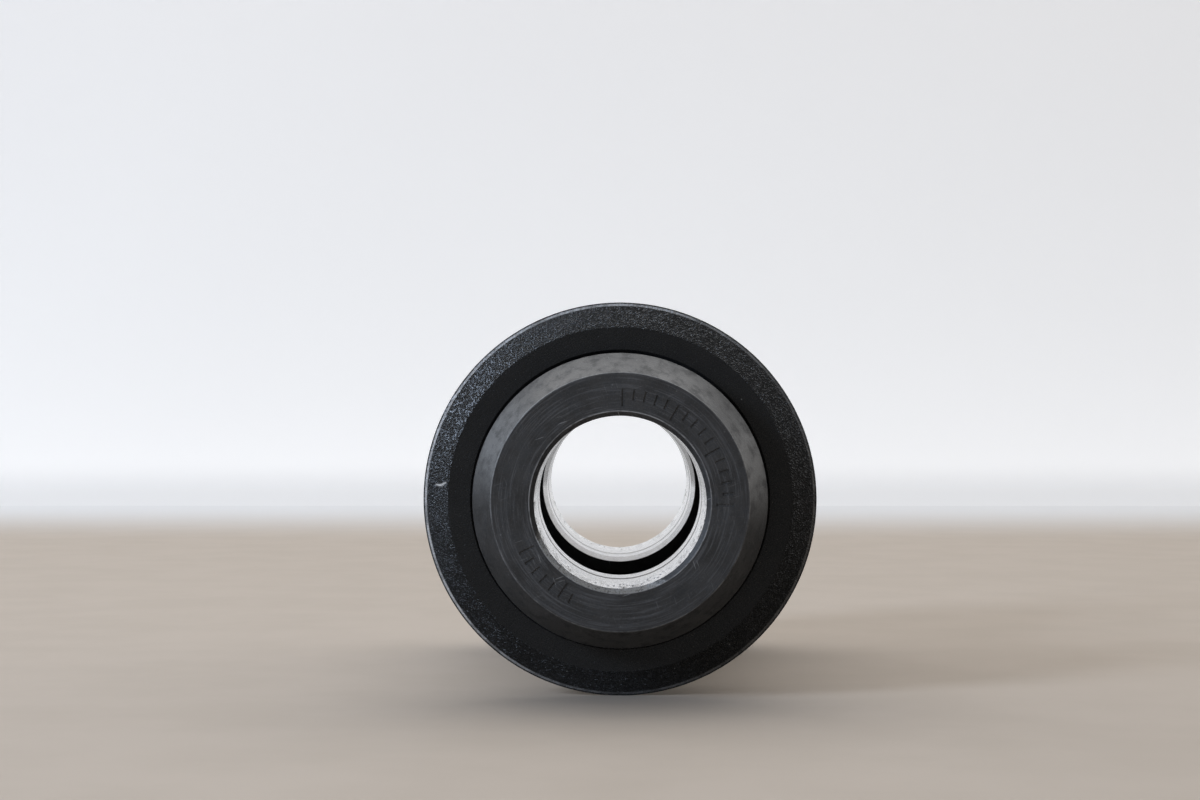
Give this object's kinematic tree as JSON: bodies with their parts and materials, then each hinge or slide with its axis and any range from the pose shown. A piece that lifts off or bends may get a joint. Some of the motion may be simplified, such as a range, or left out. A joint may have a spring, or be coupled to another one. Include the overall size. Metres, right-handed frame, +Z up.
{
  "type": "bottom bracket",
  "caption": "Press-fit bicycle bottom bracket: flanged cups joined by a sleeve, sealed ball bearings, and bevelled adapters that turn with the crank spindle.",
  "frame": {"origin": "on the spindle axis, midway between the two shell faces", "axes": "+Y along the spindle axis to the non-drive side, so the drive side is at -Y; +X to the front of the bicycle; +Z up"},
  "size_m": [0.0564, 0.0904, 0.0564],
  "materials": {
    "cup_anodised": "black anodised, bead-blasted",
    "adapter_anodised": "black anodised, fine-turned, with a bare bore",
    "bearing_steel": "ground",
    "ball_steel": "polished",
    "shield_rubber": "matt",
    "cage_nylon": "moulded",
    "sleeve_plastic": "moulded, satin",
    "seal_rubber": "matt"
  },
  "bodies": {
    "housing": {"center_sleeve": "sleeve_plastic", "drive_cup": "cup_anodised", "drive_sleeve_o_ring": "seal_rubber", "drive_bearing_outer_ring": "bearing_steel", "drive_outer_bearing_shield": "shield_rubber", "drive_inner_bearing_shield": "shield_rubber", "non_drive_cup": "cup_anodised", "non_drive_sleeve_o_ring": "seal_rubber", "non_drive_bearing_outer_ring": "bearing_steel", "non_drive_outer_bearing_shield": "shield_rubber", "non_drive_inner_bearing_shield": "shield_rubber"},
    "drive_rotor": {"drive_adapter": "adapter_anodised", "drive_bearing_inner_ring": "bearing_steel", "drive_inner_collar": "adapter_anodised", "drive_dust_seal": "seal_rubber", "drive_adapter_o_ring": "seal_rubber"},
    "drive_ball_set": {"drive_ball_cage": "cage_nylon", "drive_balls": "ball_steel"},
    "non_drive_rotor": {"non_drive_adapter": "adapter_anodised", "non_drive_bearing_inner_ring": "bearing_steel", "non_drive_inner_collar": "adapter_anodised", "non_drive_dust_seal": "seal_rubber", "non_drive_adapter_o_ring": "seal_rubber"},
    "non_drive_ball_set": {"non_drive_ball_cage": "cage_nylon", "non_drive_balls": "ball_steel"}
  },
  "joints": [
    {"name": "drive_spin", "type": "hinge", "parent": "housing", "child": "drive_rotor", "pos_m": [0, -0.03075, 0], "axis": [0, 1, 0], "continuous": true},
    {"name": "drive_ball_orbit", "type": "hinge", "parent": "housing", "child": "drive_ball_set", "pos_m": [0, -0.03075, 0], "axis": [0, 1, 0], "continuous": true},
    {"name": "non_drive_spin", "type": "hinge", "parent": "housing", "child": "non_drive_rotor", "pos_m": [0, 0.03075, 0], "axis": [0, 1, 0], "continuous": true},
    {"name": "non_drive_ball_orbit", "type": "hinge", "parent": "housing", "child": "non_drive_ball_set", "pos_m": [0, 0.03075, 0], "axis": [0, 1, 0], "continuous": true}
  ],
  "couplings": [
    {"joint": "drive_ball_orbit", "follows": "drive_spin", "ratio": 0.45139},
    {"joint": "non_drive_ball_orbit", "follows": "non_drive_spin", "ratio": 0.45139}
  ]
}
